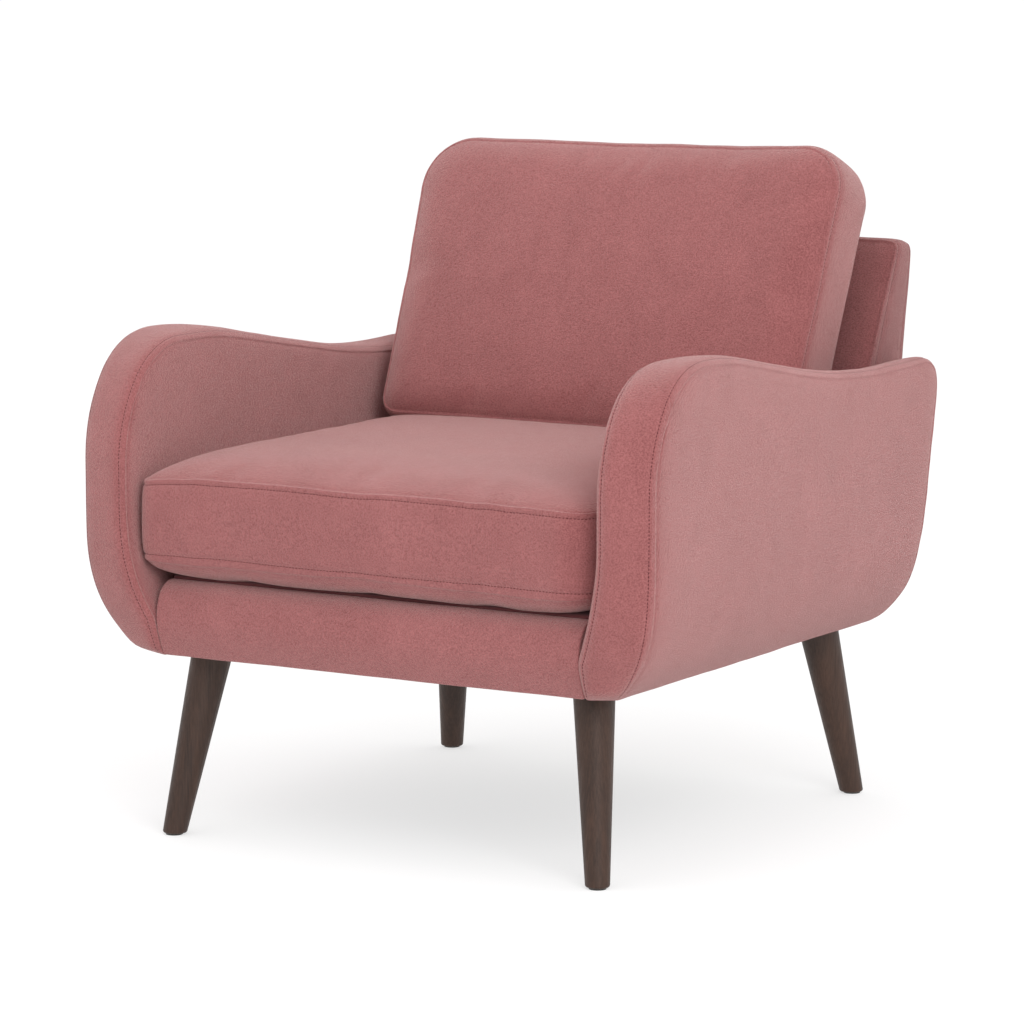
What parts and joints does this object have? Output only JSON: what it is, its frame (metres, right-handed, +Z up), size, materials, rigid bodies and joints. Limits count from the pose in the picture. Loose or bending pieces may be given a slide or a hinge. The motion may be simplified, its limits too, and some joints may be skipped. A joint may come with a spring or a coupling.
{
  "type": "armchair",
  "caption": "Low upholstered armchair: thin curved arms, a loose box seat cushion, a loose leaning back cushion, a low padded back frame and splayed tapered wooden legs.",
  "frame": {"origin": "on the floor, under the middle of the chair", "axes": "+Z up; the chair's front faces -Y; +X is on the right of someone who faces the front"},
  "size_m": [0.76, 0.7673, 0.79],
  "materials": {
    "velvet": "short cut pile, dusty rose",
    "walnut": "dark stained, satin lacquer",
    "beech": "planed, unfinished",
    "plywood": "sanded, unfinished",
    "hardboard": "smooth face, unfinished",
    "foam": "open-cell polyurethane foam",
    "fibre_fill": "polyester fibre in an inner bag",
    "felt": "needled felt pad",
    "lining": "plain woven deck lining",
    "dust_cloth": "non-woven dust cloth",
    "webbing": "elastic webbing",
    "zip_tape": "woven tape with a moulded coil",
    "spring_wire": "drawn spring wire, oiled",
    "zinc_steel": "zinc plated",
    "zip_brass": "tumbled, antique",
    "glide_plastic": "moulded, matte"
  },
  "bodies": {
    "frame": {"leg_front_left": "walnut", "leg_front_right": "walnut", "leg_rear_left": "walnut", "leg_rear_right": "walnut", "leg_glides": "glide_plastic", "hanger_bolts": "zinc_steel", "leg_plates": "zinc_steel", "plate_screws": "zinc_steel", "arm_bolts": "zinc_steel", "tee_nuts": "zinc_steel", "spring_clips": "zinc_steel", "seat_springs": "spring_wire", "front_rail": "beech", "rear_rail": "beech", "right_side_rail": "beech", "left_side_rail": "beech", "corner_blocks": "beech", "right_arm_cleat": "beech", "left_arm_cleat": "beech", "right_back_post": "beech", "left_back_post": "beech", "back_top_rail": "beech", "back_lower_rail": "beech", "right_arm_board": "plywood", "left_arm_board": "plywood", "back_board": "hardboard", "deck_pad": "felt", "deck_cloth": "lining", "dust_cover": "dust_cloth", "back_webbing": "webbing", "front_rail_pad": "foam", "back_front_pad": "foam", "back_edge_pad": "foam", "front_rail_cover": "velvet", "back_front_cover": "velvet", "back_outside_cover": "velvet", "back_boxing": "velvet", "right_arm_inner_pad": "foam", "right_arm_edge_pad": "foam", "right_arm_outer_pad": "foam", "right_arm_inner_cover": "velvet", "right_arm_outer_cover": "velvet", "right_arm_boxing": "velvet", "left_arm_inner_pad": "foam", "left_arm_edge_pad": "foam", "left_arm_outer_pad": "foam", "left_arm_inner_cover": "velvet", "left_arm_outer_cover": "velvet", "left_arm_boxing": "velvet"},
    "seat_cushion": {"seat_foam": "foam", "seat_cover": "velvet", "seat_zip_tape": "zip_tape"},
    "back_cushion": {"back_cushion_fill": "fibre_fill", "back_cushion_cover": "velvet", "back_zip_tape": "zip_tape"},
    "seat_zip_runner": {"seat_zip_slider": "zip_brass"},
    "back_zip_runner": {"back_zip_slider": "zip_brass"}
  },
  "joints": [
    {"name": "seat_cushion_slide", "type": "slide", "parent": "frame", "child": "seat_cushion", "axis": [0, -1, 0], "range_m": [0, 0.62]},
    {"name": "back_cushion_lift", "type": "slide", "parent": "frame", "child": "back_cushion", "axis": [0, 0, 1], "range_m": [0, 0.4]},
    {"name": "seat_zip_run", "type": "slide", "parent": "seat_cushion", "child": "seat_zip_runner", "axis": [1, 0, 0], "range_m": [0, 0.44]},
    {"name": "back_zip_run", "type": "slide", "parent": "back_cushion", "child": "back_zip_runner", "axis": [1, 0, 0], "range_m": [0, 0.44]}
  ]
}
